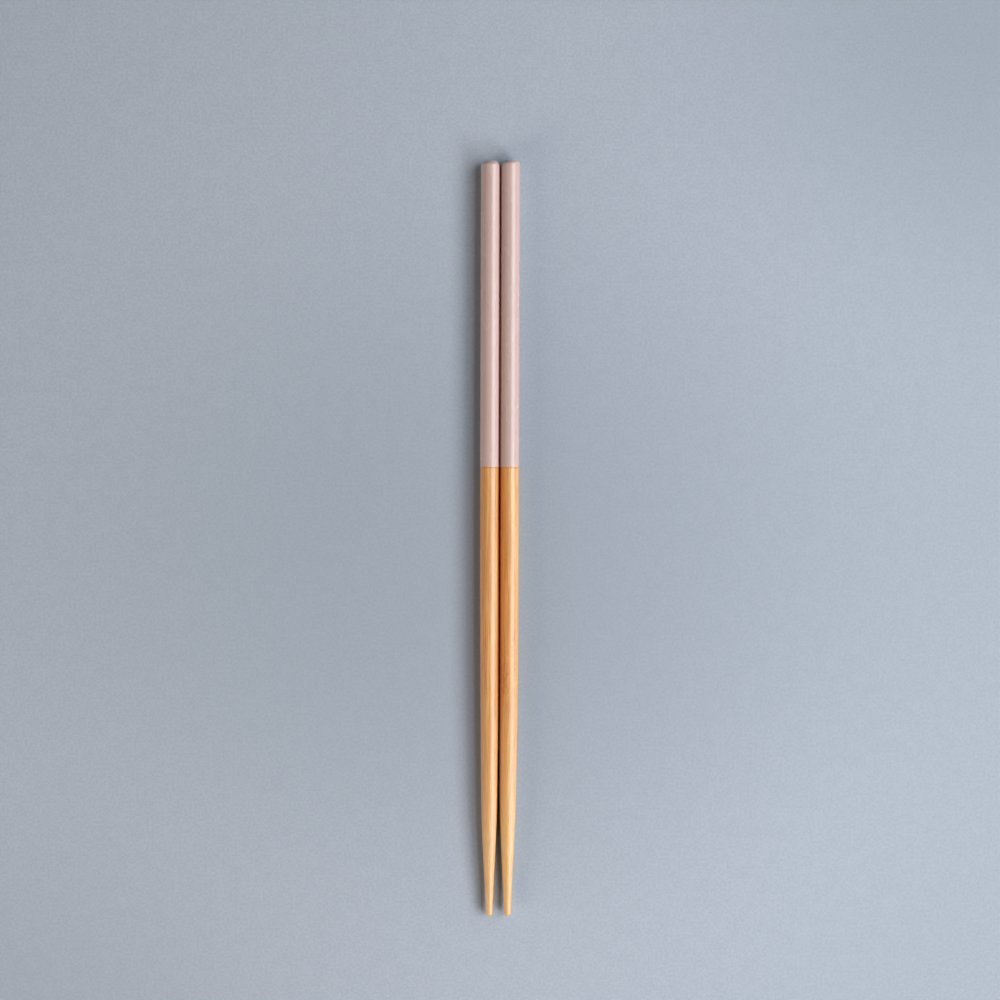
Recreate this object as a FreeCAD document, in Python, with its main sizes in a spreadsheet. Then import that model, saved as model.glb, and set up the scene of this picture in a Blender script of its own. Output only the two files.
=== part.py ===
import FreeCAD, Part
import os
import Sketcher

# A pair of long cooking chopsticks, lying side by side as they rest on a table. Millimetres.
#
# Each stick is one turned piece of bamboo. From the butt it is a parallel shaft, then a long
# draw that falls away so gently that the eye barely sees it, then a shoulder that turns the
# draw into the point, and last a small round tip. The grip wears a coat of lacquer whose edge
# is a step on the shaft, and the butt has a 45 degree chamfer.
#
# Frame: +Z is up, the table is at Z = 0 and the origin lies under the middle of the pair.
# The sticks run along Y, butts towards +Y. The left stick is on the -X side.
# Each body has an origin of its own at the centre of the butt, with the stick along its -Y.

# Driving dimensions: name, value, meaning. Everything else follows from these.
SIZES = (
    ("stick_length", "330", "butt face to the end of the tip"),
    ("shaft_diameter", "8.3", "bare bamboo on the parallel shaft"),
    ("draw_length", "97", "end of the parallel shaft to the shoulder"),
    ("draw_depth", "0.62", "fall of the radius along the draw"),
    ("shoulder_length", "22", "stretch that turns the draw into the point"),
    ("point_length", "31", "straight-sided point, with the tip"),
    ("tip_diameter", "3", "ball that rounds the end of the point"),
    ("coat_length", "133.7", "butt face to the edge of the lacquer"),
    ("coat_thickness", "0.06", "lacquer on the shaft, measured on the radius"),
    ("butt_chamfer", "1.5", "width of the chamfer round the butt"),
    ("side_gap", "0.12", "clearance between the two lacquered grips"),
)

GRIP_RADIUS = "(Sizes.shaft_diameter / 2 + Sizes.coat_thickness)"

# Sketcher's names for the ends of a line or an arc, and for what every sketch holds already.
# An arc starts at its lower end here, because arcs run anticlockwise.
START = 1
END = 2
CENTRE = 3
ORIGIN = -1
UPRIGHT_AXIS = -2


def make_size_sheet(doc):
    """Write the driving dimensions into a spreadsheet, one row each."""
    sheet = doc.addObject("Spreadsheet::Sheet", "Sizes")
    for row, (name, value, meaning) in enumerate(SIZES, start=1):
        sheet.set(f"A{row}", name)
        sheet.set(f"B{row}", value)
        sheet.set(f"C{row}", meaning)
        sheet.setAlias(f"B{row}", name)
    doc.recompute()
    return sheet


def new_sketch(body, name, plane_role):
    """Start a sketch on one of the body's own origin planes."""
    sketch = body.newObject("Sketcher::SketchObject", name)
    planes = [plane for plane in body.Origin.OriginFeatures if plane.Role == plane_role]
    sketch.AttachmentSupport = (planes[0], [""])
    sketch.MapMode = "FlatFace"
    return sketch


def drive(sketch, name, constraint, expression):
    """Add a dimension to a sketch and bind it to the spreadsheet."""
    index = sketch.addConstraint(constraint)
    sketch.renameConstraint(index, name)
    sketch.setExpression(f"Constraints.{name}", expression)


def rough_outline(sheet):
    """Half of the stick's outline, near enough to its sizes for the constraints to take over.

    X is the radius and the stick hangs down from its butt at the sketch's origin.
    """
    shaft_r = sheet.shaft_diameter / 2
    tip_r = sheet.tip_diameter / 2
    foot_y = -sheet.stick_length
    point_y = foot_y + sheet.point_length
    shoulder_y = point_y + sheet.shoulder_length
    shaft_y = shoulder_y + sheet.draw_length
    shoulder_r = shaft_r - sheet.draw_depth
    point_r = tip_r + (shoulder_r - tip_r) * 2 / 3
    sag = 0.002 * sheet.shoulder_length

    butt_centre = FreeCAD.Vector(0, 0, 0)
    butt_rim = FreeCAD.Vector(shaft_r, 0, 0)
    shaft_foot = FreeCAD.Vector(shaft_r, shaft_y, 0)
    draw_middle = FreeCAD.Vector(shaft_r - sheet.draw_depth / 4, (shaft_y + shoulder_y) / 2, 0)
    shoulder = FreeCAD.Vector(shoulder_r, shoulder_y, 0)
    turn_middle = FreeCAD.Vector((shoulder_r + point_r) / 2 + sag, (shoulder_y + point_y) / 2, 0)
    point_head = FreeCAD.Vector(point_r, point_y, 0)
    ball_side = FreeCAD.Vector(tip_r, foot_y + tip_r, 0)
    ball_middle = FreeCAD.Vector(tip_r * 0.7, foot_y + tip_r * 0.3, 0)
    foot = FreeCAD.Vector(0, foot_y, 0)
    return (
        Part.LineSegment(butt_centre, butt_rim),
        Part.LineSegment(butt_rim, shaft_foot),
        Part.Arc(shoulder, draw_middle, shaft_foot),
        Part.Arc(point_head, turn_middle, shoulder),
        Part.LineSegment(point_head, ball_side),
        Part.Arc(foot, ball_middle, ball_side),
        Part.LineSegment(foot, butt_centre),
    )


def draw_stick_profile(body, sheet):
    """Sketch half of the bare stick: every arc is tangent to what it meets."""
    sketch = new_sketch(body, "StickProfile", "XY_Plane")
    butt, shaft, draw, shoulder, point, ball, axis = sketch.addGeometry(list(rough_outline(sheet)), False)

    sketch.addConstraint([
        Sketcher.Constraint("Coincident", butt, START, ORIGIN, START),
        Sketcher.Constraint("Coincident", butt, END, shaft, START),
        Sketcher.Constraint("Coincident", ball, START, axis, START),
        Sketcher.Constraint("Coincident", axis, END, butt, START),
        Sketcher.Constraint("Horizontal", butt),
        Sketcher.Constraint("Vertical", shaft),
        Sketcher.Constraint("Vertical", axis),
        Sketcher.Constraint("Tangent", shaft, END, draw, END),
        Sketcher.Constraint("Tangent", draw, START, shoulder, END),
        Sketcher.Constraint("Tangent", shoulder, START, point, START),
        Sketcher.Constraint("Tangent", point, END, ball, END),
        Sketcher.Constraint("PointOnObject", ball, CENTRE, UPRIGHT_AXIS),
    ])

    def rise(name, lower, lower_end, upper, upper_end):
        height = getattr(sheet, name)
        constraint = Sketcher.Constraint("DistanceY", lower, lower_end, upper, upper_end, height)
        drive(sketch, name, constraint, f"Sizes.{name}")

    rise("stick_length", axis, START, axis, END)
    rise("draw_length", draw, START, draw, END)
    rise("shoulder_length", shoulder, START, shoulder, END)
    rise("point_length", axis, START, point, START)

    fall = Sketcher.Constraint("DistanceX", draw, START, draw, END, sheet.draw_depth)
    drive(sketch, "draw_depth", fall, "Sizes.draw_depth")
    half_shaft = Sketcher.Constraint("DistanceX", butt, START, butt, END, sheet.shaft_diameter / 2)
    drive(sketch, "shaft_radius", half_shaft, "Sizes.shaft_diameter / 2")
    half_tip = Sketcher.Constraint("Radius", ball, sheet.tip_diameter / 2)
    drive(sketch, "tip_radius", half_tip, "Sizes.tip_diameter / 2")
    return sketch


def turn_bare_stick(body, sheet):
    """Turn the outline about the stick's own axis."""
    sketch = draw_stick_profile(body, sheet)
    turned = body.newObject("PartDesign::Revolution", "BareStick")
    turned.Profile = sketch
    turned.ReferenceAxis = (sketch, ["V_Axis"])
    turned.Angle = 360
    sketch.Visibility = False
    return turned


def dip_grip(body, sheet):
    """Coat the grip: a sleeve of lacquer that stands proud of the bamboo and ends in a step."""
    sketch = new_sketch(body, "CoatSection", "XZ_Plane")
    circle = Part.Circle(FreeCAD.Vector(0, 0, 0), FreeCAD.Vector(0, 0, 1), sheet.shaft_diameter)
    rim = sketch.addGeometry(circle, False)
    sketch.addConstraint(Sketcher.Constraint("Coincident", rim, CENTRE, ORIGIN, START))
    drive(sketch, "grip_radius", Sketcher.Constraint("Radius", rim, sheet.shaft_diameter), GRIP_RADIUS)

    coat = body.newObject("PartDesign::Pad", "Lacquer")
    coat.Profile = sketch
    coat.setExpression("Length", "Sizes.coat_length")
    coat.UseCustomVector = True
    coat.Direction = FreeCAD.Vector(0, -1, 0)
    sketch.Visibility = False
    return coat


def butt_edges(shape):
    """Names of the edges round the butt's face, which lies at the top of the body's Y axis."""
    names = []
    for number, edge in enumerate(shape.Edges, start=1):
        if edge.BoundBox.YMin > shape.BoundBox.YMax - 1e-6:
            names.append(f"Edge{number}")
    return names


def chamfer_butt(doc, body, coat):
    """Break the sharp rim of the butt."""
    doc.recompute()
    chamfer = body.newObject("PartDesign::Chamfer", "ButtChamfer")
    chamfer.Base = (coat, butt_edges(coat.Shape))
    chamfer.setExpression("Size", "Sizes.butt_chamfer")
    coat.Visibility = False
    return chamfer


def make_chopstick(doc, sheet, label, side):
    """One stick, on the side of the pair given by the sign of side."""
    body = doc.addObject("PartDesign::Body", label)
    body.Label = label
    turn_bare_stick(body, sheet)
    coat = dip_grip(body, sheet)
    body.Tip = chamfer_butt(doc, body, coat)
    body.setExpression("Placement.Base.x", f"{side} * ({GRIP_RADIUS} + Sizes.side_gap / 2)")
    body.setExpression("Placement.Base.y", "Sizes.stick_length / 2")
    body.setExpression("Placement.Base.z", GRIP_RADIUS)
    return body


def check_document(doc, bodies):
    """Stop if any object failed, or if a stick isn't one valid solid."""
    for item in doc.Objects:
        if "Invalid" in item.State or "Error" in item.State:
            raise RuntimeError(f"{item.Label} didn't compute: {item.State}")
    for body in bodies:
        if body.Shape.isNull() or not body.Shape.isValid():
            raise RuntimeError(f"{body.Label} has no valid shape")
        if len(body.Shape.Solids) != 1:
            raise RuntimeError(f"{body.Label} isn't one solid")


def write_steps(bodies):
    """Write each stick to its own file, named after its label."""
    os.makedirs("parts", exist_ok=True)
    for body in bodies:
        body.Shape.exportStep(f"parts/{body.Label}.step")


def build():
    doc = FreeCAD.newDocument("CookingChopsticks")
    sheet = make_size_sheet(doc)
    bodies = (
        make_chopstick(doc, sheet, "left_chopstick", -1),
        make_chopstick(doc, sheet, "right_chopstick", 1),
    )
    doc.recompute()
    check_document(doc, bodies)
    write_steps(bodies)
    for body in bodies:
        box = body.Shape.BoundBox
        print(f"{body.Label}: {box.XLength:.2f} x {box.YLength:.2f} x {box.ZLength:.2f} mm, "
              f"{body.Shape.Volume / 1000:.3f} cm3")


build()
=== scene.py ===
# %% [markdown]
# # A pair of long cooking chopsticks
# Cooks use sticks like these to turn food in a hot pan, so they are much longer than the ones
# at the table. Each is one piece of bamboo, turned round, with a grip dipped in pink lacquer.
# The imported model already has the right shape, but its faces are coarse. It is loaded first
# and stays fixed: every new piece is made on the places that it gives.

# %% Load the frame
import math

import bmesh
import bpy
from mathutils import Matrix, Vector


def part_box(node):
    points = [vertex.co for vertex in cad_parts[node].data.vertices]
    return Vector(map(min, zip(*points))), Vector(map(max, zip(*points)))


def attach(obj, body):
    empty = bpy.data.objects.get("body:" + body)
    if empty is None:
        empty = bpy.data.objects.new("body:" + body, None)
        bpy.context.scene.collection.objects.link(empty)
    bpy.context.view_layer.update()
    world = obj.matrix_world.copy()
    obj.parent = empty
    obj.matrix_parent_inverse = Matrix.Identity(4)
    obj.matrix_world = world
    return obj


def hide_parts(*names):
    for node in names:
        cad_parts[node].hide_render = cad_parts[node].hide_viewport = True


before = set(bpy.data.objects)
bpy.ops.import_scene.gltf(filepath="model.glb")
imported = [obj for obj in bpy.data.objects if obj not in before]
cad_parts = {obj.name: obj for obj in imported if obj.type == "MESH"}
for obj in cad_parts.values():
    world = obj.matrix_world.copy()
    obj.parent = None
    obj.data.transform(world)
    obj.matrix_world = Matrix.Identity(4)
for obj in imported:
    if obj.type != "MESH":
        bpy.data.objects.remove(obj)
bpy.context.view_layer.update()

MM = 0.001
print("frame nodes:", sorted(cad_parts))

# %% [markdown]
# ## The sizes of one stick
# A turner would note the sizes along the stick as distances from the butt. Each stick's axis,
# its length and the thickness of its grip are read from the frame, so they can't drift away
# from it. The others say how the stick gets thinner: first a draw so long that the eye barely
# sees it, then a shoulder, then the point, which ends in a small ball.

# %% Note the sizes
sides = {"left": "left_chopstick", "right": "right_chopstick"}
axes = {}
for side, node in sides.items():
    low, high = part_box(node)
    axes[side] = (low.x + high.x) / 2

stick_low, stick_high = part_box("left_chopstick")
stick_length = stick_high.y - stick_low.y
grip_radius = (stick_high.x - stick_low.x) / 2
butt_y = stick_high.y
axis_z = (stick_high.z + stick_low.z) / 2

lacquer_thickness = 0.06 * MM
lacquer_length = 133.7 * MM
draw_length = 97 * MM
draw_depth = 0.62 * MM
shoulder_length = 22 * MM
point_length = 31 * MM
tip_radius = 1.38 * MM

bamboo_radius = grip_radius - lacquer_thickness
shaft_length = stick_length - point_length - shoulder_length - draw_length
print(f"bamboo {2 * bamboo_radius / MM:.2f} mm thick, parallel for {shaft_length / MM:.0f} mm")

# %% [markdown]
# ## The cut of each butt
# A butt is sawn off and then bevelled by hand, so no two are quite alike. A cut has the depth
# and the length of its bevel. Its face can sit off the stick's centre, its bevel can reach
# further down one flank than the other, and the face can slant. Across the pair, X grows from
# the left stick to the right one.

# %% Note the cuts
cuts = {
    "left": {"depth": 1.4 * MM, "length": 1.7 * MM, "off_centre": -0.2 * MM, "lean": -0.18,
             "slant": 0.06},
    "right": {"depth": 1.1 * MM, "length": 1.4 * MM, "off_centre": 0.5 * MM, "lean": 0.30,
              "slant": 0.0},
}
for side, cut in cuts.items():
    print(f"{side} butt: bevel {cut['depth'] / MM:.1f} mm deep, {cut['length'] / MM:.1f} mm long")

# %% [markdown]
# ## A natural bow
# Bamboo is never dead straight. Each stick bows sideways by a fraction of a millimetre towards
# the other one, between two distances from the butt. Past its parallel part it also sinks a
# little towards the table. The parallel part doesn't sink, so the sticks still lie flat on it.

# %% Note the bows
bows = {
    "left": {"starts": 150 * MM, "ends": 260 * MM, "sideways": 0.24 * MM, "drop": 1.1 * MM},
    "right": {"starts": 230 * MM, "ends": 300 * MM, "sideways": -0.32 * MM, "drop": 0.8 * MM},
}
print("tips sink by mm:", {side: round(bow["drop"] / MM, 1) for side, bow in bows.items()})

# %% [markdown]
# ## How steep is the point?
# The draw and the shoulder are arcs, and the point is a straight line that touches the ball at
# its end. Each meets the next without a corner. The draw's slope at its end follows from its
# length and depth. The point's slope is the one at which the line just touches the ball, and
# it is found by halving: a guess that is too flat leaves the line outside the ball.

# %% Find the slopes
HALVINGS = 40
STEEPEST_GUESS = math.radians(20)

draw_arc_radius = (draw_length ** 2 + draw_depth ** 2) / (2 * draw_depth)
draw_slope = math.asin(draw_length / draw_arc_radius)


def miss_of_the_ball(slope):
    """How far the point's line passes outside the ball, measured across the stick."""
    at_shoulder = bamboo_radius - draw_depth
    lost_on_shoulder = shoulder_length * math.tan((draw_slope + slope) / 2)
    lost_on_point = (point_length - tip_radius) * math.tan(slope)
    return at_shoulder - lost_on_shoulder - lost_on_point - tip_radius / math.cos(slope)


flat, steep = draw_slope, STEEPEST_GUESS
for halving in range(HALVINGS):
    point_slope = (flat + steep) / 2
    if miss_of_the_ball(point_slope) > 0:
        flat = point_slope
    else:
        steep = point_slope

shoulder_arc_radius = shoulder_length / (math.sin(point_slope) - math.sin(draw_slope))
print(f"draw ends at {math.degrees(draw_slope):.2f} degrees, point {math.degrees(point_slope):.2f}")

# %% [markdown]
# ## Drawing an outline
# A turned piece needs only half of its outline, drawn flat and then spun about the stick's
# axis. The outline is a chain of edges that grows from its last point. A straight stretch is
# an extruded vertex, moved to its place. An arc is that vertex spun about the arc's centre.
# Here X is the distance from the axis, and Y runs from 0 at the butt down to the tip.

# %% Helpers for an outline
def start_outline(x, y):
    """A new mesh with one point, the start of an outline."""
    mesh = bmesh.new()
    created = bmesh.ops.create_vert(mesh, co=(x, y, 0))
    return mesh, created["vert"][0]


def straight_to(mesh, point, x, y, steps=1):
    """Extrude the outline's last point to a new place, and return the new last point."""
    start = point.co.copy()
    for step in range(1, steps + 1):
        grown = bmesh.ops.extrude_vert_indiv(mesh, verts=[point])
        point = grown["verts"][0]
        point.co = start.lerp(Vector((x, y, 0)), step / steps)
    return point


def arc_about(mesh, point, centre, angle, steps):
    """Spin the outline's last point about a centre, and return the new last point."""
    swept = bmesh.ops.spin(mesh, geom=[point], cent=centre, axis=(0, 0, 1), dvec=(0, 0, 0),
                           angle=angle, steps=steps, use_merge=False, use_normal_flip=False,
                           use_duplicate=False)
    return [item for item in swept["geom_last"] if isinstance(item, bmesh.types.BMVert)][0]


def soften(mesh, corners, width, segments):
    """Round the outline's corners, so that the edge they become isn't a knife edge."""
    bmesh.ops.bevel(mesh, geom=corners, offset=width, offset_type="OFFSET", affect="VERTICES",
                    segments=segments, profile=0.5, material=-1)


# %% [markdown]
# ## Uneven on purpose
# A lathe makes a stick even and straight, so the hand-made cut and the bow are added to the
# turned mesh by moving its points. They move a point by where it is on the stick, the same for
# wood and lacquer, so the two still fit. Here Y is still 0 at the butt.

# %% Helpers for the cut and the bow
rim_softness = 0.4 * MM


def lean_the_butt(mesh, cut):
    """Push the cut off centre and let it lean, most at the face and not at all below the bevel."""
    face_radius = grip_radius - cut["depth"]
    for vert in mesh.verts:
        if vert.co.y < -cut["length"] - rim_softness:
            continue
        share = max(0.0, 1 + vert.co.y / cut["length"])
        across = vert.co.x
        vert.co.y *= 1 - cut["lean"] * across / grip_radius
        vert.co.y -= cut["slant"] * (face_radius - across) * share
        vert.co.x += cut["off_centre"] * share


def bow_the_stick(mesh, bow):
    """Bend the stick sideways by an easy curve, and let it sink past its parallel part."""
    for vert in mesh.verts:
        down = -vert.co.y
        share = min(1.0, max(0.0, (down - bow["starts"]) / (bow["ends"] - bow["starts"])))
        vert.co.x += bow["sideways"] * share * share * (3 - 2 * share)
        past_shaft = max(0.0, (down - shaft_length) / (stick_length - shaft_length))
        vert.co.z -= bow["drop"] * past_shaft ** 2


# %% [markdown]
# ## Turning the outline
# The spin stands for the lathe. Both ends of an outline lie on the axis, so the spin leaves
# many points on one spot there. Welding them closes the poles, and then the normals are made
# to point outwards. After the cut and the bow, the mesh goes to its stick's place. Its object
# stays at the origin, unturned and unscaled.

# %% Helper that turns a piece
TURNS = 96
WELD = 0.0005 * MM
BY_FACE_SIZE = 100  # the larger faces decide how the shading turns


def turn_piece(mesh, name, side):
    """Spin the outline round the stick's axis and make it an object in the frame's place."""
    bmesh.ops.spin(mesh, geom=mesh.verts[:] + mesh.edges[:], cent=(0, 0, 0), axis=(0, 1, 0),
                   dvec=(0, 0, 0), angle=math.tau, steps=TURNS, use_merge=True,
                   use_normal_flip=False, use_duplicate=False)
    bmesh.ops.remove_doubles(mesh, verts=mesh.verts[:], dist=WELD)
    bmesh.ops.recalc_face_normals(mesh, faces=mesh.faces[:])
    lean_the_butt(mesh, cuts[side])
    bow_the_stick(mesh, bows[side])
    bmesh.ops.translate(mesh, verts=mesh.verts[:], vec=(axes[side], butt_y, axis_z))
    for face in mesh.faces:
        face.smooth = True
    closed = all(edge.is_manifold for edge in mesh.edges)
    data = bpy.data.meshes.new(name)
    mesh.to_mesh(data)
    mesh.free()
    piece = bpy.data.objects.new(name, data)
    bpy.context.scene.collection.objects.link(piece)
    even = piece.modifiers.new("Even shading", "WEIGHTED_NORMAL")
    even.weight = BY_FACE_SIZE
    print(f"{name}: {len(data.polygons)} faces, closed {closed}")
    return piece


# %% [markdown]
# ## The bamboo
# Under the lacquer the bamboo is a plain rod, with its butt bevelled before it was dipped. A
# cylinder with a taper on it would show a kink at each change, so the outline follows the
# arcs. The parallel shaft gets a few rings along it, which keeps its faces from being slivers.
# The bevel's two corners are rounded, because a filed edge is never sharp.

# %% Turn the bamboo
SHAFT_RINGS = 18
DRAW_RINGS = 20
SHOULDER_RINGS = 10
POINT_RINGS = 6
BALL_RINGS = 10
RIM_RINGS = 5


def bamboo_outline(cut):
    """Half of the bare stick, from the middle of its butt to the end of its tip."""
    face_y = -lacquer_thickness
    mesh, point = start_outline(0, face_y)
    face_rim = straight_to(mesh, point, bamboo_radius - cut["depth"], face_y)
    side_rim = straight_to(mesh, face_rim, bamboo_radius, face_y - cut["length"])
    point = straight_to(mesh, side_rim, bamboo_radius, -shaft_length, SHAFT_RINGS)

    centre = point.co - Vector((draw_arc_radius, 0, 0))
    point = arc_about(mesh, point, centre, -draw_slope, DRAW_RINGS)

    inwards = Vector((math.cos(draw_slope), -math.sin(draw_slope), 0))
    centre = point.co - inwards * shoulder_arc_radius
    point = arc_about(mesh, point, centre, draw_slope - point_slope, SHOULDER_RINGS)

    ball = Vector((0, tip_radius - stick_length, 0))
    touch = ball + Vector((math.cos(point_slope), -math.sin(point_slope), 0)) * tip_radius
    point = straight_to(mesh, point, touch.x, touch.y, POINT_RINGS)
    arc_about(mesh, point, ball, point_slope - math.pi / 2, BALL_RINGS)
    soften(mesh, [face_rim, side_rim], rim_softness, RIM_RINGS)
    return mesh


bamboo = {}
for side, node in sides.items():
    bamboo[side] = turn_piece(bamboo_outline(cuts[side]), f"{side}_bamboo", side)
    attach(bamboo[side], "root")
    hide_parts(node)

# %% [markdown]
# ## The lacquer
# The grip was dipped, so the lacquer is a thin cup: it covers the butt, the bevel and the
# first 134 mm, and ends in a small rounded lip. It could be a second colour on the bamboo,
# but a real film stands proud of the wood, and its lip catches the light. Its outline goes
# down the outside and back up along the bamboo, so the cup is a closed solid.

# %% Turn the lacquer
LACQUER_RINGS = 14
LIP_RINGS = 4
lip_radius = 0.045 * MM


def lacquer_outline(cut):
    """The film's section: the outside from the butt to the lip, then the inside back."""
    face_y = -lacquer_thickness
    lip_centre = Vector((grip_radius - lip_radius, lip_radius - lacquer_length, 0))
    mesh, point = start_outline(0, 0)
    face_rim = straight_to(mesh, point, grip_radius - cut["depth"], 0)
    side_rim = straight_to(mesh, face_rim, grip_radius, -cut["length"])
    point = straight_to(mesh, side_rim, grip_radius, lip_centre.y, LACQUER_RINGS)
    point = arc_about(mesh, point, lip_centre, -math.pi / 2, LIP_RINGS)
    point = straight_to(mesh, point, bamboo_radius, -lacquer_length)
    inner_side = straight_to(mesh, point, bamboo_radius, face_y - cut["length"], LACQUER_RINGS)
    inner_rim = straight_to(mesh, inner_side, bamboo_radius - cut["depth"], face_y)
    straight_to(mesh, inner_rim, 0, face_y)
    soften(mesh, [face_rim, side_rim, inner_side, inner_rim], rim_softness, RIM_RINGS)
    return mesh


lacquer = {}
for side in sides:
    lacquer[side] = turn_piece(lacquer_outline(cuts[side]), f"{side}_lacquer", side)
    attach(lacquer[side], "root")

# %% [markdown]
# ## A toolbox for materials
# A material is a chain of nodes. Short helpers place a node, set its values and join it to
# what feeds it, so that each finish below reads as a list of what it does.

# %% Helpers for nodes
def feed(tree, socket, value):
    """Join a socket to the output that feeds it, or set it to a plain value."""
    if isinstance(value, bpy.types.NodeSocket):
        tree.links.new(value, socket)
    else:
        socket.default_value = value


def add_node(tree, kind, inputs=None, **settings):
    """Place a node. An input is a plain value or the output socket that feeds it."""
    node = tree.nodes.new(kind)
    for name, value in settings.items():
        setattr(node, name, value)
    for name, value in (inputs or {}).items():
        feed(tree, node.inputs[name], value)
    return node


def calculate(tree, operation, first, second=0.0, clamp=False):
    """One sum on values, each a number or a socket."""
    node = add_node(tree, "ShaderNodeMath", {0: first, 1: second}, operation=operation,
                    use_clamp=clamp)
    return node.outputs[0]


def times(tree, first, second):
    """The product of two values."""
    return calculate(tree, "MULTIPLY", first, second)


def stretch(tree, value, low, high, to_low=0.0, to_high=1.0):
    """Map a range of a value onto another range, with soft ends."""
    node = add_node(tree, "ShaderNodeMapRange", {
        "Value": value, "From Min": low, "From Max": high, "To Min": to_low, "To Max": to_high,
    }, interpolation_type="SMOOTHSTEP")
    return node.outputs["Result"]


# %% [markdown]
# ## Layers of colour
# Most layers of a finish are one colour laid over another where a mask is. The node that mixes
# colours has sockets for other kinds of value too, so the ones for colour go by number.

# %% Helpers for colours
MIX_SHARE, MIX_FIRST, MIX_SECOND, MIXED = 0, 6, 7, 2


def blend_colours(tree, share, first, second, mode="MIX"):
    """Mix two colours by a share."""
    node = add_node(tree, "ShaderNodeMix", {
        MIX_SHARE: share, MIX_FIRST: first, MIX_SECOND: second,
    }, data_type="RGBA", blend_type=mode)
    return node.outputs[MIXED]


def tint(tree, colour, over, mask, share):
    """Lay a second colour over the first where the mask is, by a share at most."""
    return blend_colours(tree, times(tree, mask, share), colour, over)


# %% [markdown]
# ## Node groups
# What both finishes need is built once, as a group with named sockets, and placed in each of
# them with its own values.

# %% Helpers for groups
VECTOR, FLOAT = "NodeSocketVector", "NodeSocketFloat"


def new_group(name, inputs, outputs):
    """An empty node group with named sockets, and its two ends."""
    tree = bpy.data.node_groups.new(name, "ShaderNodeTree")
    for socket, kind, value in inputs:
        made = tree.interface.new_socket(socket, in_out="INPUT", socket_type=kind)
        if value is not None:
            made.default_value = value
    for socket, kind in outputs:
        tree.interface.new_socket(socket, in_out="OUTPUT", socket_type=kind)
    return tree, tree.nodes.new("NodeGroupInput"), tree.nodes.new("NodeGroupOutput")


def use_group(tree, group, inputs):
    """Place a node group in a material with its own values."""
    return add_node(tree, "ShaderNodeGroup", inputs, node_tree=group)


# %% [markdown]
# ## Grain that runs along the stick
# Bamboo is a bundle of fibres that all run one way. On a turned stick they show as long soft
# streaks, and where the lathe cuts a bundle at a shallow angle, as short dark flecks. The same
# streaks print faintly through the lacquer. Both come from noise in space that is squeezed
# across the stick and pulled out along it, so the pattern has no seam and runs through the
# stick as real fibres do.

# %% Group: lengthwise grain
FIBRE_WIDTH, FIBRE_LENGTH = 0.30, 0.35  # shares of a streak's width and length
FLECK_WIDTH, FLECK_LENGTH = 0.25, 0.030


def squeezed_noise(tree, vector, width, length, detail, roughness, seed):
    """Noise whose grains are width across the stick and length along it."""
    across = calculate(tree, "DIVIDE", 1.0, width)
    along = calculate(tree, "DIVIDE", 1.0, length)
    scale = add_node(tree, "ShaderNodeCombineXYZ", {"X": across, "Y": along, "Z": across})
    scaled = add_node(tree, "ShaderNodeVectorMath", {0: vector, 1: scale.outputs[0]},
                      operation="MULTIPLY")
    moved = add_node(tree, "ShaderNodeVectorMath", {0: scaled.outputs[0], 1: seed},
                     operation="ADD")
    noise = add_node(tree, "ShaderNodeTexNoise", {
        "Vector": moved.outputs[0], "Scale": 1.0, "Detail": detail, "Roughness": roughness,
    }, noise_dimensions="3D")
    return noise.outputs["Fac"]


grain_group, ends_in, ends_out = new_group(
    "Lengthwise grain",
    (("Vector", VECTOR, None), ("Streak Width", FLOAT, 0.001), ("Streak Length", FLOAT, 0.06)),
    (("Streaks", FLOAT), ("Fibres", FLOAT), ("Flecks", FLOAT)),
)
place = ends_in.outputs["Vector"]
wide = ends_in.outputs["Streak Width"]
long = ends_in.outputs["Streak Length"]
streaks = squeezed_noise(grain_group, place, wide, long,
                         detail=3.0, roughness=0.6, seed=(3.1, 7.7, 1.9))
fibres = squeezed_noise(grain_group, place, times(grain_group, wide, FIBRE_WIDTH),
                        times(grain_group, long, FIBRE_LENGTH),
                        detail=2.0, roughness=0.5, seed=(9.4, 2.3, 5.2))
specks = squeezed_noise(grain_group, place, times(grain_group, wide, FLECK_WIDTH),
                        times(grain_group, long, FLECK_LENGTH),
                        detail=1.0, roughness=0.4, seed=(4.8, 6.1, 8.3))
patches = squeezed_noise(grain_group, place, 6 * MM, 20 * MM,
                         detail=1.0, roughness=0.5, seed=(1.3, 0.4, 2.6))
flecks = times(grain_group, stretch(grain_group, specks, 0.60, 0.72),
               stretch(grain_group, patches, 0.45, 0.62))
feed(grain_group, ends_out.inputs["Streaks"], stretch(grain_group, streaks, 0.42, 0.58))
feed(grain_group, ends_out.inputs["Fibres"], stretch(grain_group, fibres, 0.32, 0.68))
feed(grain_group, ends_out.inputs["Flecks"], flecks)
print("group:", grain_group.name)

# %% [markdown]
# ## Marks of handling
# A finish that has been held and wiped is never equally shiny. Fingers leave soft patches a
# few millimetres across that are a little duller than the rest. Bamboo and lacquer share
# them, each with its own strength, and a fine ripple gives the surface its hand-made skin.

# %% Group: handling
RIPPLE_STRETCH = 6.0

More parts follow.
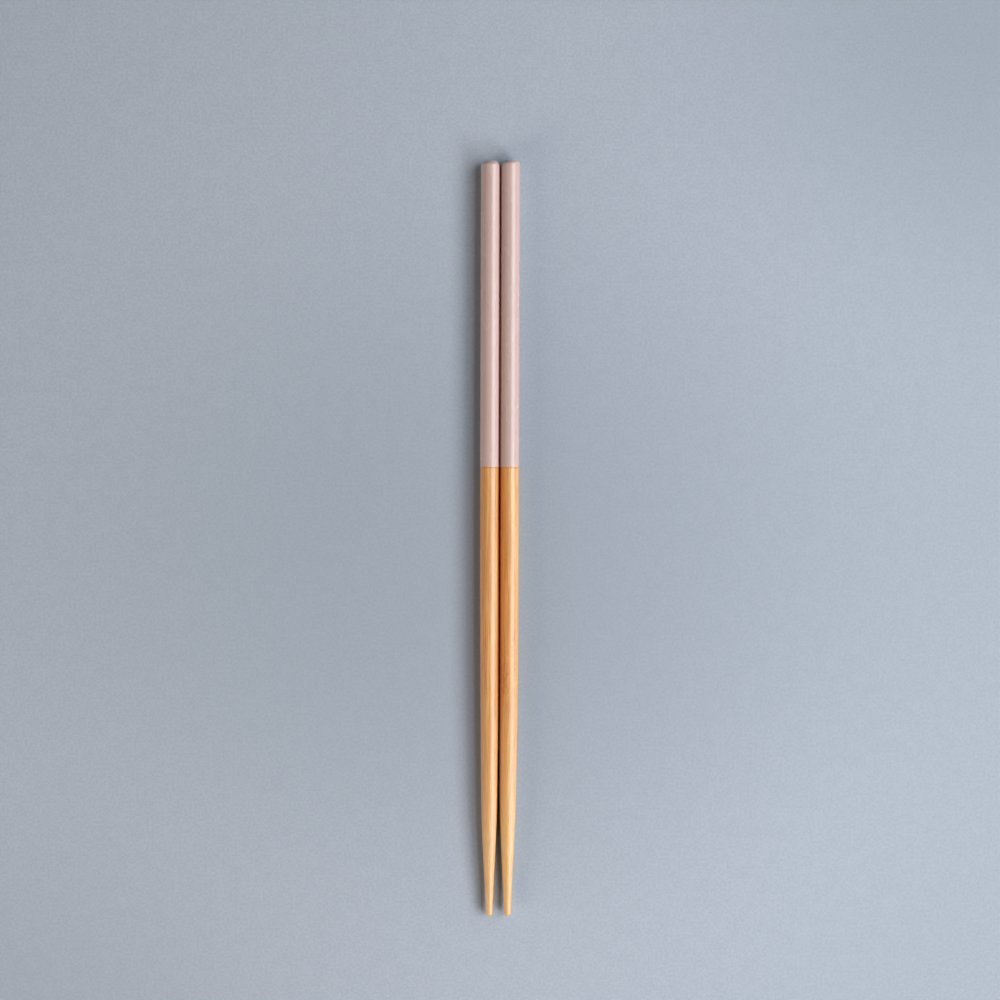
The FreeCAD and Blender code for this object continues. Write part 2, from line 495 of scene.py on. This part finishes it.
handling_group, ends_in, ends_out = new_group(
    "Handling",
    (("Vector", VECTOR, None), ("Roughness", FLOAT, 0.3), ("Spread", FLOAT, 0.05),
     ("Ripple Size", FLOAT, 0.002)),
    (("Roughness", FLOAT), ("Ripple", FLOAT)),
)
place = ends_in.outputs["Vector"]
ripple_size = ends_in.outputs["Ripple Size"]
smudges = squeezed_noise(handling_group, place, 5 * MM, 20 * MM,
                         detail=2.0, roughness=0.5, seed=(2.2, 9.1, 4.4))
duller = times(handling_group, stretch(handling_group, smudges, 0.3, 0.7, -1.0, 1.0),
               ends_in.outputs["Spread"])
rougher = calculate(handling_group, "ADD", ends_in.outputs["Roughness"], duller, clamp=True)
ripple = squeezed_noise(handling_group, place, ripple_size,
                        times(handling_group, ripple_size, RIPPLE_STRETCH),
                        detail=2.0, roughness=0.5, seed=(7.5, 3.3, 0.7))
feed(handling_group, ends_out.inputs["Roughness"], rougher)
feed(handling_group, ends_out.inputs["Ripple"], ripple)
print("group:", handling_group.name)

# %% [markdown]
# ## Places on a stick
# Both finishes change with the place on the stick. The group gives the distance down from the butt
# and the distance across from the axis. It gives the distance below the lacquer's lip, which wavers
# a little, since a dipped edge never runs dead straight. And it gives a mask for the flank that
# faces the other stick, where the finishes paint shade: what light gets in between has bounced from
# one stick to the other, so that flank is painted deeper and redder.

# %% Group: places on a stick
LIP_WAVER = 0.6 * MM
TO_THE_OTHER = {"left": 1.0, "right": -1.0}  # which way along X the other stick lies

places_group, ends_in, ends_out = new_group(
    "Places on a stick",
    (("Vector", VECTOR, None), ("Inwards", FLOAT, 1.0), ("Facing Starts", FLOAT, 0.003),
     ("Facing Ends", FLOAT, 0.004)),
    (("Down", FLOAT), ("Across", FLOAT), ("Below Lip", FLOAT), ("Facing", FLOAT)),
)
place = ends_in.outputs["Vector"]
parts = add_node(places_group, "ShaderNodeSeparateXYZ", {0: place})
down = times(places_group, parts.outputs["Y"], -1.0)
waver = squeezed_noise(places_group, place, 1.2 * MM, 4 * MM,
                       detail=1.0, roughness=0.5, seed=(2.7, 5.8, 0.3))
waver = times(places_group, calculate(places_group, "SUBTRACT", waver, 0.5), LIP_WAVER)
below_lip = calculate(places_group, "SUBTRACT", calculate(places_group, "ADD", down, waver),
                      lacquer_length)
inwards = times(places_group, parts.outputs["X"], ends_in.outputs["Inwards"])
facing = stretch(places_group, inwards, ends_in.outputs["Facing Starts"],
                 ends_in.outputs["Facing Ends"])
feed(places_group, ends_out.inputs["Down"], down)
feed(places_group, ends_out.inputs["Across"], parts.outputs["X"])
feed(places_group, ends_out.inputs["Below Lip"], below_lip)
feed(places_group, ends_out.inputs["Facing"], facing)
print("group:", places_group.name)

# %% [markdown]
# ## Starting a finish
# Patterns read Object coordinates, which are the frame's own metres, because every object sits
# at the origin. One Mapping node centres them on the middle of the stick's butt, so X runs
# across the stick and Y along it. A second one rolls them about the stick's axis and slides
# them along it. Each piece has its own slide, and the lacquer is rolled too, so no two show
# the same grain. Both finishes end alike, with a shine on a relief 0.01 mm deep.

# %% Helpers for a finish
VARNISH_SHINE = 0.75
RELIEF = 0.01 * MM


def start_finish(name, axis_x, slide, roll_degrees=0):
    """A material, its tree and shader, and coordinates for places and for patterns."""
    material = bpy.data.materials.new(name)
    material.use_nodes = True
    tree = material.node_tree
    shader = tree.nodes["Principled BSDF"]
    source = add_node(tree, "ShaderNodeTexCoord")
    centred = add_node(tree, "ShaderNodeMapping", {
        "Vector": source.outputs["Object"], "Location": (axis_x, butt_y, axis_z),
    }, vector_type="TEXTURE")
    shifted = add_node(tree, "ShaderNodeMapping", {
        "Vector": centred.outputs[0], "Location": (0, slide, 0),
        "Rotation": (0, -math.radians(roll_degrees), 0),
    })
    return material, tree, shader, centred.outputs[0], shifted.outputs[0]


def end_finish(tree, shader, colour, roughness, height, strength):
    """Join the colour, the roughness and the fine relief to the shader."""
    relief = add_node(tree, "ShaderNodeBump", {
        "Height": height, "Strength": strength, "Distance": RELIEF,
    })
    feed(tree, shader.inputs["Base Color"], colour)
    feed(tree, shader.inputs["Roughness"], roughness)
    feed(tree, shader.inputs["Normal"], relief.outputs["Normal"])
    shader.inputs["Specular IOR Level"].default_value = VARNISH_SHINE


def put_on(piece, material):
    """Give a piece its only material."""
    piece.data.materials.clear()
    piece.data.materials.append(material)


# %% [markdown]
# ## The bamboo's colour
# Bamboo for kitchen tools is steamed to a warm honey brown. Long streaks are a little lighter
# or darker than the rest, fine fibres run between them, and both drift slowly towards honey.

# %% Helper for the wood's colour
honey = (0.697, 0.376, 0.150, 1.0)
golden_streak = (0.735, 0.455, 0.190, 1.0)
russet_streak = (0.665, 0.295, 0.110, 1.0)


def wood_colour(tree, pattern, grain):
    """The streaks, the fibres between them and the drift."""
    fibres = grain.outputs["Fibres"]
    colour = blend_colours(tree, grain.outputs["Streaks"], russet_streak, golden_streak)
    colour = blend_colours(tree, stretch(tree, fibres, 0.6, 0.2, 0.0, 0.5), colour, russet_streak)
    drift = squeezed_noise(tree, pattern, 8 * MM, 50 * MM,
                           detail=1.0, roughness=0.5, seed=(0.9, 4.2, 6.6))
    return blend_colours(tree, stretch(tree, drift, 0.3, 0.7, 0.10, 0.45), colour, honey)


def shade_fibres(tree, colour, fibres):
    """Make the colour a little lighter on a fibre and darker between two."""
    light = stretch(tree, fibres, 0.0, 1.0, 0.92, 1.08)
    grey = add_node(tree, "ShaderNodeCombineColor", {"Red": light, "Green": light, "Blue": light})
    return blend_colours(tree, 1.0, colour, grey.outputs[0], "MULTIPLY")


# %% [markdown]
# ## Amber on the left, pale on the right
# On each stick the left flank, away from the lamps, is amber: partly the wood's own colour and
# partly painted shade. Right of the middle it is pale: partly the wood and partly a painted
# highlight. The pale band can end before the right edge, with painted shade past it, and further
# down it reaches all the way to it. Towards the point the wood is paler on both sides.

# %% Helpers for the flanks and the point
amber_and_painted_shade = (0.760, 0.280, 0.045, 1.0)
pale_and_painted_highlight = (0.740, 0.450, 0.225, 1.0)
point_painted_shade = (0.700, 0.415, 0.130, 1.0)
point_pale_and_highlight = (0.715, 0.505, 0.285, 1.0)
PALE_HIGHLIGHT_SHARE = 0.6
PAST_PALE_SHADE_SHARE = 0.15
pale_fade = 1.8 * MM


def colour_flanks(tree, colour, down, across, look):
    """Amber, partly painted shade, on the left flank; pale, partly a painted highlight, right of the
    middle; and russet painted shade past the pale band.
    """
    towards_left_flank = stretch(tree, across, 0.6 * MM, -3.4 * MM)
    colour = tint(tree, colour, amber_and_painted_shade, towards_left_flank, look["amber_shade_share"])
    painted_shade_past_pale = times(
        tree, stretch(tree, across, look["pale_until"], look["pale_until"] + pale_fade),
        stretch(tree, down, 250 * MM, 236 * MM))
    towards_lit_side = times(tree, stretch(tree, across, -0.2 * MM, 2.2 * MM),
                          calculate(tree, "SUBTRACT", 1.0, painted_shade_past_pale))
    colour = tint(tree, colour, pale_and_painted_highlight, towards_lit_side, PALE_HIGHLIGHT_SHARE)
    return tint(tree, colour, russet_streak, painted_shade_past_pale, PAST_PALE_SHADE_SHARE)


def colour_point(tree, colour, towards_point, across, share):
    """A paler point, with painted shade on its left and a painted highlight on its right."""
    left_to_right = stretch(tree, across, -1.2 * MM, 1.2 * MM)
    point_colour = blend_colours(tree, left_to_right, point_painted_shade, point_pale_and_highlight)
    return tint(tree, colour, point_colour, towards_point, share)


# %% [markdown]
# ## Flecks and a growth joint
# Dark flecks are strewn thinly over the wood and gather in one stretch. One stick has a growth
# joint, where the fibres swirl round a scar. The swirl is made by pushing the pattern's own
# place about, and it fades out within about two centimetres of the joint.

# %% Helpers for flecks and the joint
fleck_brown = (0.300, 0.105, 0.035, 1.0)
joint_brown = (0.470, 0.165, 0.045, 1.0)
FLECKS_ALL_OVER = 0.20
FLECKS_GATHERED = 0.35
JOINT_SHARE = 0.60
joint_reach = 11 * MM
swirl_push = 6 * MM


def add_flecks(tree, colour, down, flecks, flecked):
    """Dark flecks, stronger in the stretch between two distances from the butt."""
    starts, ends = flecked
    gathered = times(tree, stretch(tree, down, starts - 4 * MM, starts + 4 * MM),
                     stretch(tree, down, ends + 20 * MM, ends - 10 * MM))
    share = calculate(tree, "ADD", times(tree, gathered, FLECKS_GATHERED), FLECKS_ALL_OVER)
    return tint(tree, colour, fleck_brown, flecks, share)


def near_place(tree, value, middle, reach):
    """A mask that is 1 where the value is at the middle, and about a third at its reach."""
    away = calculate(tree, "DIVIDE", calculate(tree, "SUBTRACT", value, middle), reach)
    return calculate(tree, "EXPONENT", times(tree, times(tree, away, away), -1.0))


def swirl_pattern(tree, pattern, centred, near):
    """Push the pattern's place about where the mask is."""
    swirl = squeezed_noise(tree, centred, 3 * MM, 7 * MM,
                           detail=1.0, roughness=0.5, seed=(5.0, 5.0, 5.0))
    push = times(tree, calculate(tree, "SUBTRACT", swirl, 0.5), times(tree, near, swirl_push))
    bend = add_node(tree, "ShaderNodeCombineXYZ", {"X": push, "Z": push})
    bent = add_node(tree, "ShaderNodeVectorMath", {0: pattern, 1: bend.outputs[0]},
                    operation="ADD")
    return bent.outputs[0]


def mark_joint(tree, colour, centred, across, near):
    """The scar of the joint, on the left side of the stick."""
    scar = squeezed_noise(tree, centred, 1.1 * MM, 3.4 * MM,
                          detail=2.0, roughness=0.6, seed=(8.8, 1.1, 3.9))
    on_left = times(tree, near, stretch(tree, across, 0.8 * MM, -2.0 * MM))
    marks = times(tree, on_left, stretch(tree, scar, 0.38, 0.58, 0.25, 1.0))
    return tint(tree, colour, joint_brown, marks, JOINT_SHARE)


# %% [markdown]
# ## How the two sticks differ
# Each stick has its own piece of the culm. The right one has more amber, with painted shade, on its
# left flank, is pale up to its right edge, turns pale towards its point sooner and has the growth
# joint. Its flecks gather under the lacquer, out of sight, and the left one's just below the lip.

# %% Note the looks of the bamboo
bamboo_looks = {
    "left": {"slide": 0.31, "amber_shade_share": 0.35, "pale_until": 1.4 * MM, "point_starts": 245 * MM,
             "point_share": 0.60, "flecked": (136 * MM, 150 * MM), "joint_at": None},
    "right": {"slide": 0.83, "amber_shade_share": 0.80, "pale_until": 4.5 * MM,
              "point_starts": 215 * MM, "point_share": 0.85, "flecked": (0.0, 0.0),
              "joint_at": 227.5 * MM},
}
for side, look in bamboo_looks.items():
    print(f"{side} bamboo: the point's colour starts {look['point_starts'] / MM:.0f} mm down")

# %% [markdown]
# ## The bamboo's finish
# The bamboo is wiped with clear oil or varnish, so it is satin, and duller towards the point.
# Its colour is laid on in layers. After the wood's own colour, the flanks and the point comes
# painted shade on the flank that faces the other stick, and last a thin darker band in the wood just
# under the lacquer's lip.

# %% Bamboo
painted_shade_flank = (0.500, 0.115, 0.006, 1.0)
BELOW_LIP_SHARE = 0.34
POINT_DULLER = 0.20
FIBRE_DULLER = 0.05
point_ends = 305 * MM


def bamboo_finish(side, look):
    """Turned, varnished bamboo for one stick."""
    material, tree, shader, centred, pattern = start_finish(
        f"{side} bamboo", axes[side], look["slide"])
    places = use_group(tree, places_group, {
        "Vector": centred, "Inwards": TO_THE_OTHER[side],
        "Facing Starts": 2.9 * MM, "Facing Ends": 4.1 * MM,
    })
    down, across = places.outputs["Down"], places.outputs["Across"]
    has_joint = look["joint_at"] is not None
    if has_joint:
        near_joint = near_place(tree, down, look["joint_at"], joint_reach)
        pattern = swirl_pattern(tree, pattern, centred, near_joint)
    grain = use_group(tree, grain_group, {
        "Vector": pattern, "Streak Width": 1.2 * MM, "Streak Length": 60 * MM,
    })
    fibres = grain.outputs["Fibres"]
    towards_point = stretch(tree, down, look["point_starts"], point_ends)

    colour = wood_colour(tree, pattern, grain)
    # Flanks: amber on the left and pale on the right, partly the wood's colour and partly painted
    # shade and a painted highlight.
    colour = colour_flanks(tree, colour, down, across, look)
    # The point: paler, with painted shade on its left and a painted highlight on its right.
    colour = colour_point(tree, colour, towards_point, across, look["point_share"])
    # Painted shade: the flank that faces the other stick is deeper and redder, less so towards the
    # point.
    painted_shade_share = stretch(tree, down, 215 * MM, 255 * MM, 0.80, 0.30)
    colour = tint(tree, colour, painted_shade_flank, places.outputs["Facing"], painted_shade_share)
    colour = shade_fibres(tree, colour, fibres)
    colour = add_flecks(tree, colour, down, grain.outputs["Flecks"], look["flecked"])
    if has_joint:
        colour = mark_joint(tree, colour, centred, across, near_joint)
    # A thin darker band in the wood just under the lip.
    just_below_lip = stretch(tree, places.outputs["Below Lip"], 1.1 * MM, 0.2 * MM)
    colour = tint(tree, colour, fleck_brown, just_below_lip, BELOW_LIP_SHARE)

    handling = use_group(tree, handling_group, {
        "Vector": pattern, "Roughness": 0.27, "Spread": 0.03, "Ripple Size": 2 * MM,
    })
    rough = calculate(tree, "ADD", handling.outputs["Roughness"], times(tree, fibres, FIBRE_DULLER))
    rough = calculate(tree, "ADD", rough, times(tree, towards_point, POINT_DULLER))
    height = calculate(tree, "ADD", fibres, handling.outputs["Ripple"])
    end_finish(tree, shader, colour, rough, height, strength=0.35)
    return material


for side, look in bamboo_looks.items():
    put_on(bamboo[side], bamboo_finish(side, look))
    print(f"{side} bamboo finished, growth joint {look['joint_at'] is not None}")

# %% [markdown]
# ## The lacquer's finish
# The lacquer is a soft greyed pink, brushed or dipped in a few coats and left satin. It isn't one
# flat colour: it pools in faint clouds, the bamboo's streaks print through it, and where it thins
# out over the lip the warm wood shows. Its ripple is finer than the bamboo's, and the flank that
# faces the other stick is painted deeper with shade, as it is on the bamboo.

# %% Lacquer
pink = (0.595, 0.434, 0.407, 1.0)
pink_cloud = (0.615, 0.456, 0.429, 1.0)
pink_shade = (0.569, 0.406, 0.378, 1.0)
pink_over_wood = (0.760, 0.450, 0.280, 1.0)
painted_shade_pink = (0.440, 0.190, 0.150, 1.0)
EVEN_SHARE = 0.5
STREAK_SHARE = 0.35
PINK_SHADE_SHARE = 0.85
THIN_SHARE = 0.7
FIBRE_PRINT = 0.25

lacquer_looks = {
    "left": {"slide": 0.12, "roll_degrees": 65},
    "right": {"slide": 0.57, "roll_degrees": 140},
}


def lacquer_finish(side, look):
    """Satin pink lacquer for one grip."""
    material, tree, shader, centred, pattern = start_finish(
        f"{side} lacquer", axes[side], look["slide"], look["roll_degrees"])
    places = use_group(tree, places_group, {
        "Vector": centred, "Inwards": TO_THE_OTHER[side],
        "Facing Starts": 3.2 * MM, "Facing Ends": 4.2 * MM,
    })
    grain = use_group(tree, grain_group, {
        "Vector": pattern, "Streak Width": 1.4 * MM, "Streak Length": 90 * MM,
    })
    clouds = squeezed_noise(tree, pattern, 4 * MM, 15 * MM,
                            detail=3.0, roughness=0.55, seed=(6.0, 2.0, 9.0))
    colour = blend_colours(tree, stretch(tree, clouds, 0.3, 0.7), pink_shade, pink_cloud)
    colour = blend_colours(tree, EVEN_SHARE, colour, pink)
    colour = tint(tree, colour, pink_cloud, grain.outputs["Streaks"], STREAK_SHARE)
    # Painted shade: the flank that faces the other stick is deeper and redder.
    colour = tint(tree, colour, painted_shade_pink, places.outputs["Facing"], PINK_SHADE_SHARE)
    thin = stretch(tree, places.outputs["Below Lip"], -0.8 * MM, -0.3 * MM)
    colour = tint(tree, colour, pink_over_wood, thin, THIN_SHARE)

    handling = use_group(tree, handling_group, {
        "Vector": pattern, "Roughness": 0.27, "Spread": 0.02, "Ripple Size": 1.6 * MM,
    })
    height = calculate(tree, "ADD", handling.outputs["Ripple"],
                       times(tree, grain.outputs["Fibres"], FIBRE_PRINT))
    end_finish(tree, shader, colour, handling.outputs["Roughness"], height, strength=0.2)
    return material


for side, look in lacquer_looks.items():
    put_on(lacquer[side], lacquer_finish(side, look))
    print(f"{side} lacquer finished, pattern rolled by {look['roll_degrees']} degrees")

# %% [markdown]
# ## The table
# The sticks lie on a wide board of pale blue-grey paper. Paper has a fine tooth: fibres up to a
# millimetre long that scatter the light and speckle it a little. Soft ovals of painted shade make it
# deeper in some places than in others.

# %% Lay the paper
FLOOR_HALF = 6.0

sheet_mesh = bmesh.new()
bmesh.ops.create_grid(sheet_mesh, x_segments=1, y_segments=1, size=FLOOR_HALF)
sheet_data = bpy.data.meshes.new("paper")
sheet_mesh.to_mesh(sheet_data)
sheet_mesh.free()
paper = bpy.data.objects.new("paper", sheet_data)
bpy.context.scene.collection.objects.link(paper)
print(f"paper: {2 * FLOOR_HALF:.0f} m wide")

# %% [markdown]
# ## The paper's speckle
# Two noises make the speckle: a fine one for the tooth and a coarser one for the pulp. The
# tooth also stands up a little, which a bump shows where the light comes in low.

# %% Speckle the paper
paper_blue = (0.390, 0.443, 0.524, 1.0)
paper_light = (0.441, 0.499, 0.581, 1.0)
TOOTH_PER_METRE = 900.0
PULP_PER_METRE = 160.0
TOOTH_PART = 0.80
PULP_PART = 0.20

paper_material = bpy.data.materials.new("paper")
paper_material.use_nodes = True
tree = paper_material.node_tree
shader = tree.nodes["Principled BSDF"]
on_paper = add_node(tree, "ShaderNodeTexCoord").outputs["Object"]
tooth = add_node(tree, "ShaderNodeTexNoise", {
    "Vector": on_paper, "Scale": TOOTH_PER_METRE, "Detail": 2.0, "Roughness": 0.75,
})
pulp = add_node(tree, "ShaderNodeTexNoise", {
    "Vector": on_paper, "Scale": PULP_PER_METRE, "Detail": 3.0, "Roughness": 0.6,
})
speckle = calculate(tree, "ADD", times(tree, tooth.outputs["Fac"], TOOTH_PART),
                    times(tree, pulp.outputs["Fac"], PULP_PART))
speckled = blend_colours(tree, stretch(tree, speckle, 0.39, 0.61), paper_blue, paper_light)
tooth_bump = add_node(tree, "ShaderNodeBump", {
    "Height": tooth.outputs["Fac"], "Strength": 0.25, "Distance": 0.1 * MM,
})
feed(tree, shader.inputs["Normal"], tooth_bump.outputs["Normal"])
shader.inputs["Roughness"].default_value = 0.85
shader.inputs["Specular IOR Level"].default_value = 0.2
print(f"paper speckled, {TOOTH_PER_METRE * MM:.1f} and {PULP_PER_METRE * MM:.2f} grains to a mm")

# %% [markdown]
# ## Ovals of painted shade
# Each oval is deepest in its middle and fades out at its reach. They go on one after another,
# and each deepens what is there by its share. All places are in metres from the middle.

# %% Paint shade on the paper
paper_painted_shade = (0.250, 0.300, 0.365, 1.0)
shade_ovals = (
    {"x": 0, "y": 0, "reach_x": 0.22, "reach_y": 0.20, "share": 0.20},
    {"x": -0.03, "y": -0.01, "reach_x": 0.30, "reach_y": 0.19, "share": 0.27},
    {"x": 0.23, "y": 0.24, "reach_x": 0.21, "reach_y": 0.17, "share": 0.48},
    {"x": 0.30, "y": 0, "reach_x": 0.20, "reach_y": 0.60, "share": 0.30},
    {"x": -0.24, "y": -0.24, "reach_x": 0.24, "reach_y": 0.16, "share": 0.30},
    {"x": 0.20, "y": -0.25, "reach_x": 0.20, "reach_y": 0.15, "share": 0.15},
)


def paint_shade_oval(colour, x, y, reach_x, reach_y, share):
    """Deepen the paper's colour with painted shade in one soft oval."""
    oval = add_node(tree, "ShaderNodeMapping", {
        "Vector": on_paper, "Location": (x, y, 0), "Scale": (reach_x, reach_y, 1.0),
    }, vector_type="TEXTURE")
    mist = add_node(tree, "ShaderNodeTexGradient", {"Vector": oval.outputs[0]},
                    gradient_type="SPHERICAL")
    return tint(tree, colour, paper_painted_shade, stretch(tree, mist.outputs["Fac"], 0.0, 0.9), share)


# Each oval lays painted shade on the paper.
paper_colour = speckled
for oval in shade_ovals:
    paper_colour = paint_shade_oval(paper_colour, **oval)
feed(tree, shader.inputs["Base Color"], paper_colour)
print("paper sprayed with", len(shade_ovals), "ovals")

# %% [markdown]
# ## Where the paper ends
# The board is wide, and far from the sticks it fades into the backdrop's own colour, so a low
# camera sees no edge. The fade is only in what is seen: the light that falls on the board
# meets paper all over.

# %% Fade the paper out
distant_paper = (0.350, 0.400, 0.467, 1.0)
FADE_STARTS = 0.34
FADE_ENDS = 0.75


def seen_directly(tree):
    """1 for what the camera sees, straight or in a reflection, and 0 for light that falls."""
    path = add_node(tree, "ShaderNodeLightPath")
    seen = calculate(tree, "MAXIMUM", path.outputs["Is Camera Ray"], path.outputs["Is Glossy Ray"])
    return calculate(tree, "MAXIMUM", seen, path.outputs["Is Transmission Ray"])


from_middle = add_node(tree, "ShaderNodeVectorMath", {0: on_paper}, operation="LENGTH")
far = stretch(tree, from_middle.outputs["Value"], FADE_STARTS, FADE_ENDS)
distant = add_node(tree, "ShaderNodeEmission", {"Color": distant_paper, "Strength": 1.0})
paper_mix = add_node(tree, "ShaderNodeMixShader", {
    0: times(tree, far, seen_directly(tree)), 1: shader.outputs["BSDF"], 2: distant.outputs[0],
})
feed(tree, tree.nodes["Material Output"].inputs["Surface"], paper_mix.outputs[0])
paper.data.materials.append(paper_material)
print(f"paper fades out between {FADE_STARTS} and {FADE_ENDS} m from the middle")

# %% [markdown]
# ## Light
# The sticks are lit by three soft boxes on their right and a card on their left. The window
# stands highest, and draws the broad bright line along each stick. The long panel stands lower
# and spans their whole length, and the front panel beside it is nearer the tips: the two open
# up the right flanks and throw the shadow well to the left. The warm card keeps the left
# flanks from going black. A box's height is given as an angle from straight above, because on
# a round stick that angle is what places its reflection.

# %% Lamps
LAMP_DISTANCE = 1.5
warm_card = (1.0, 0.86, 0.74)


def soft_box(name, from_above, wide, towards_tips, long, brightness, colour=(1.0, 1.0, 1.0)):
    """An area lamp that faces the sticks. Its place and its size are angles seen from them.

    Brightness is that of the lamp's face, so a wider box also gives more light.
    """
    lamp = bpy.data.lights.new(name, "AREA")
    lamp.color = colour
    lamp.shape = "RECTANGLE"
    lamp.size = 2 * LAMP_DISTANCE * math.tan(math.radians(wide / 2))
    lamp.size_y = 2 * LAMP_DISTANCE * math.tan(math.radians(long / 2))
    lamp.energy = brightness * math.pi * lamp.size * lamp.size_y
    lean = math.radians(from_above)
    turn = math.radians(towards_tips)
    across = Vector((math.cos(lean), 0, -math.sin(lean)))
    out = Vector((math.sin(lean) * math.cos(turn), -math.sin(turn), math.cos(lean) * math.cos(turn)))
    stand = bpy.data.objects.new(name, lamp)
    stand.location = out * LAMP_DISTANCE
    stand.rotation_euler = Matrix((across, out.cross(across), out)).transposed().to_euler()
    stand.visible_camera = False
    bpy.context.scene.collection.objects.link(stand)
    print(f"{name}: {lamp.size:.2f} x {lamp.size_y:.2f} m, {lamp.energy:.1f} W")


soft_box("window", from_above=34, wide=24, towards_tips=0, long=44, brightness=4.3)
soft_box("long panel", from_above=55, wide=18, towards_tips=0, long=88, brightness=4.5)
soft_box("front panel", from_above=55, wide=18, towards_tips=33, long=22, brightness=9.5)
soft_box("left card", from_above=-70, wide=30, towards_tips=33, long=22, brightness=9.6,
         colour=warm_card)

# %% [markdown]
# ## The room
# The room adds a faint warm light from all sides. Low down, what is seen of it has the colour
# of the distant paper, and higher up that gives way to the room.

# %% Room
room_warmth = (1.0, 0.94, 0.88, 1.0)
ROOM_LIGHT = 0.01
HIGH, LOW = 0.26, 0.14  # how far a line of sight rises for each metre it goes

world = bpy.data.worlds.new("room")
world.use_nodes = True
bpy.context.scene.world = world
tree = world.node_tree
room = tree.nodes["Background"]
room.inputs["Color"].default_value = room_warmth
room.inputs["Strength"].default_value = ROOM_LIGHT
direction = add_node(tree, "ShaderNodeTexCoord")
upwards = add_node(tree, "ShaderNodeSeparateXYZ", {0: direction.outputs["Generated"]})
near_horizon = stretch(tree, upwards.outputs["Z"], HIGH, LOW)
backdrop = add_node(tree, "ShaderNodeBackground", {"Color": distant_paper, "Strength": 1.0})
room_mix = add_node(tree, "ShaderNodeMixShader", {
    0: times(tree, near_horizon, seen_directly(tree)),
    1: room.outputs[0], 2: backdrop.outputs[0],
})
feed(tree, tree.nodes["World Output"].inputs["Surface"], room_mix.outputs[0])
print(f"room light {ROOM_LIGHT}, backdrop up to a rise of {HIGH}")

# %% [markdown]
# ## Camera
# The camera looks straight down with a long lens, so the round sides hardly turn away. It
# stands a little towards the butts and is turned by a fraction of a degree, so the pair lies
# almost square in its view, but not quite.

# %% Camera and view
LENS = 85
SENSOR = 36
camera_height = 1.0313
camera_aim = Vector((0.00026, 0.01686, axis_z))
camera_turn = 0.18

lens = bpy.data.cameras.new("camera")
lens.lens = LENS
lens.sensor_width = SENSOR
camera = bpy.data.objects.new("camera", lens)
camera.location = camera_aim + Vector((0, 0, camera_height))
camera.rotation_euler = (0, 0, math.radians(camera_turn))
bpy.context.scene.collection.objects.link(camera)
bpy.context.scene.camera = camera
bpy.context.scene.view_settings.view_transform = "Standard"
print(f"the view is {camera_height * SENSOR / LENS / MM:.0f} mm wide at the sticks")
